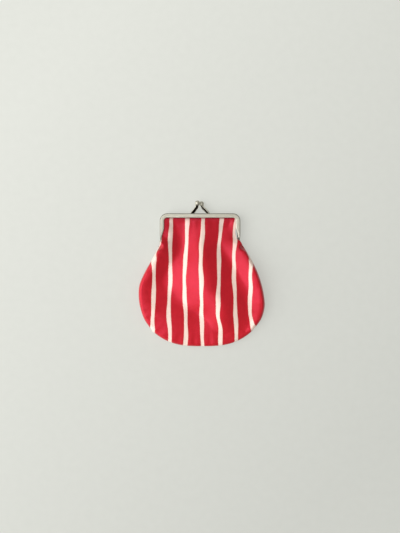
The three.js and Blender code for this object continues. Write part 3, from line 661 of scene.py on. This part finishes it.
def makePanel(name, node, height, left, right, facing, rows, columns):
    # The patch at its height, moved out along its softened normals, with a tucked rim all round it.
    x, y, start = panelOutline(rows, columns, left, right)
    inward, where = seamDistance(x, y, start)
    middle = np.stack([x, y, height(x, y, inward, where)], axis=-1)
    normal = np.cross(np.gradient(middle, axis=0), np.gradient(middle, axis=1))
    # The corners lean as the points beside them
    normal[[0, 0, -1, -1], [0, -1, 0, -1]] = normal[[1, 1, -2, -2], [1, -2, 1, -2]]
    normal = unit(soften(facing * unit(normal), cloth["softRows"]))
    outer = middle + cloth["half"] * normal
    u, weaveU, v = layFlat(x, y, middle, height(x, y, np.full_like(x, np.inf), where))
    flat, weave = (np.stack([across, v], axis=-1).reshape(-1, 2) for across in (u, weaveU))

    grid = np.arange(rows * columns).reshape(rows, columns)
    loop = np.concatenate([grid[:, 0], grid[-1, 1:], grid[:-1, -1][::-1], grid[0, 1:-1][::-1]])
    rim, outline, lean = (q.reshape(-1, 3)[loop] for q in (outer, middle, normal))
    tucked, tuckedWeave = tuckRim(rim, outline, lean, weave[loop], facing)
    points = np.concatenate([outer.reshape(-1, 3)] + tucked)
    weave = np.concatenate([weave] + tuckedWeave)
    flat = np.concatenate([flat] + [flat[loop]] * len(tucked))
    rings = [loop] + [rows * columns + k * len(loop) + np.arange(len(loop)) for k in range(len(tucked))]
    bands = [np.stack([a, b, np.roll(b, -1), np.roll(a, -1)], axis=1) for a, b in zip(rings, rings[1:])]
    faces = np.concatenate([gridFaces(rows, columns)[:, ::-1]] + bands)[:, ::facing]

    piece = addPiece(name, node, points, faces.tolist(), canvasMaterial)
    addValues(piece, "stripe", stripeDistance(flat[:, 0], flat[:, 1]))
    # painted shade along the top bar and round the frame
    addValues(piece, "paintedShade", paintedShadeAt(points))
    corners = np.empty(len(piece.data.loops), np.int32)
    piece.data.loops.foreach_get("vertex_index", corners)
    uvMap = piece.data.uv_layers.new(name="flat")
    uvMap.data.foreach_set("uv", (weave[corners] / canvas["uvSpan"]).astype(np.float32).ravel())
    wall = piece.modifiers.new("wall", "SOLIDIFY")
    wall.thickness, wall.offset = cloth["thick"] * mm, -1.0


left, right, reach = sideEdge[:, 1], sideEdge[:, 2], sideEdge[:, 3]
makePanel("back_cloth", "back_panel", backHeight, np.minimum(left, reach), np.minimum(right, reach),
          facing=-1, rows=130, columns=120)
makePanel("front_cloth", "front_panel", frontHeight, left, right,
          facing=1, rows=210, columns=200)
print("cloth made")


# Pale table top, soft light from the left and a bright ceiling, in metres and watts
stageSet = {"floor": "797a76", "glow": 2.56, "fadeFrom": 1.08, "fadeTo": 0.88, "fadeReach": 0.2,
            "grainsPerMetre": 160.0, "half": 3.0, "gap": 0.0002,
            "keyPower": 77.0, "keySize": 3.0, "keyPlace": (-1.5, -0.25, 1.35),
            "sky": "fffdf6", "horizon": 0.55, "horizonTop": 0.3, "skyLow": 0.16, "skyHigh": 0.46}


def makeStage():
    material, tree = newMaterial("table_top")
    coords = addNode(tree, "ShaderNodeTexCoord")
    grain = addNode(tree, "ShaderNodeTexNoise", {
        "Vector": coords.outputs["Object"], "Scale": stageSet["grainsPerMetre"], "Detail": 4.0})
    tone = addNode(tree, "ShaderNodeMapRange", {
        "Value": grain.outputs["Fac"], "To Min": 0.97, "To Max": 1.02})
    turned = addNode(tree, "ShaderNodeMapping", {
        "Vector": coords.outputs["Object"], "Rotation": (0, 0, np.pi / 4)})
    place = addNode(tree, "ShaderNodeSeparateXYZ", {0: turned.outputs[0]})
    fade = addNode(tree, "ShaderNodeMapRange", {  # a little darker away from the light
        "Value": place.outputs["X"], "From Min": -stageSet["fadeReach"], "From Max": stageSet["fadeReach"],
        "To Min": stageSet["fadeFrom"], "To Max": stageSet["fadeTo"]})
    strength = addNode(tree, "ShaderNodeMath", {0: tone.outputs[0], 1: fade.outputs[0]},
                       operation="MULTIPLY")
    paint = addNode(tree, "ShaderNodeMix", {
        mixShare: 1.0, mixFirst: colour(stageSet["floor"]), mixSecond: strength.outputs[0]},
        data_type="RGBA", blend_type="MULTIPLY")
    surface = addNode(tree, "ShaderNodeBsdfPrincipled", {
        "Base Color": paint.outputs[mixOut], "Roughness": 0.7, "Specular IOR Level": 0.2,
        "Emission Color": paint.outputs[mixOut], "Emission Strength": stageSet["glow"]})
    addNode(tree, "ShaderNodeOutputMaterial", {"Surface": surface.outputs[0]})
    half, level = stageSet["half"], -stageSet["gap"]
    mesh = bpy.data.meshes.new("table_top")
    corners = [(-half, -half, level), (half, -half, level), (half, half, level), (-half, half, level)]
    mesh.from_pydata(corners, [], [(0, 1, 2, 3)])
    mesh.materials.append(material)
    floor = bpy.data.objects.new("table_top", mesh)
    bpy.context.collection.objects.link(floor)


def makeLight():
    key = bpy.data.lights.new("window", "AREA")
    key.shape, key.size, key.energy = "DISK", stageSet["keySize"], stageSet["keyPower"]
    lamp = bpy.data.objects.new("window", key)
    lamp.location = stageSet["keyPlace"]
    lamp.rotation_euler = (-Vector(stageSet["keyPlace"])).to_track_quat("-Z", "Y").to_euler()
    bpy.context.collection.objects.link(lamp)
    world = bpy.data.worlds.new("room")
    world.use_nodes = True
    world.node_tree.nodes.clear()
    tree = world.node_tree
    coords = addNode(tree, "ShaderNodeTexCoord")
    split = addNode(tree, "ShaderNodeSeparateXYZ", {0: coords.outputs["Generated"]})
    rise = addNode(tree, "ShaderNodeMapRange", {
        "Value": split.outputs["Z"], "From Min": 0.0, "From Max": 1.0,
        "To Min": stageSet["skyLow"], "To Max": stageSet["skyHigh"]})
    wall = addNode(tree, "ShaderNodeMapRange", {
        "Value": split.outputs["Z"], "From Min": 0.0, "From Max": stageSet["horizonTop"],
        "To Min": stageSet["horizon"], "To Max": 0.0})
    room = addNode(tree, "ShaderNodeMath", {0: rise.outputs[0], 1: wall.outputs[0]}, operation="MAXIMUM")
    sky = addNode(tree, "ShaderNodeBackground", {
        "Color": colour(stageSet["sky"]), "Strength": room.outputs[0]})
    addNode(tree, "ShaderNodeOutputWorld", {"Surface": sky.outputs[0]})
    bpy.context.scene.world = world


# The photograph is taken from straight above: 0.8 mm to a pixel at the frame's face
view = {"mmPerPixel": 0.8, "high": 533, "wide": 400, "frameTopRow": 213.3, "frameMiddle": 200.05,
        "distance": 560.0, "faceHeight": 8.0, "sensor": 36.0,
        "nearest": 0.01, "furthest": 20.0}  # metres


def makeCamera():
    lens = bpy.data.cameras.new("above")
    lens.sensor_width = view["sensor"]  # the long side, which is the picture's height
    lens.lens = view["sensor"] * view["distance"] / (view["high"] * view["mmPerPixel"])
    lens.clip_start, lens.clip_end = view["nearest"], view["furthest"]
    camera = bpy.data.objects.new("above", lens)
    x = (view["wide"] / 2 - view["frameMiddle"]) * view["mmPerPixel"]
    y = (view["frameTopRow"] - view["high"] / 2) * view["mmPerPixel"]
    camera.location = (np.array([x, y, view["distance"] + view["faceHeight"]]) * mm + frameTop).tolist()
    bpy.context.collection.objects.link(camera)
    bpy.context.scene.camera = camera


makeStage()
makeLight()
makeCamera()
bpy.context.scene.view_settings.view_transform = "Standard"
print("stage made")
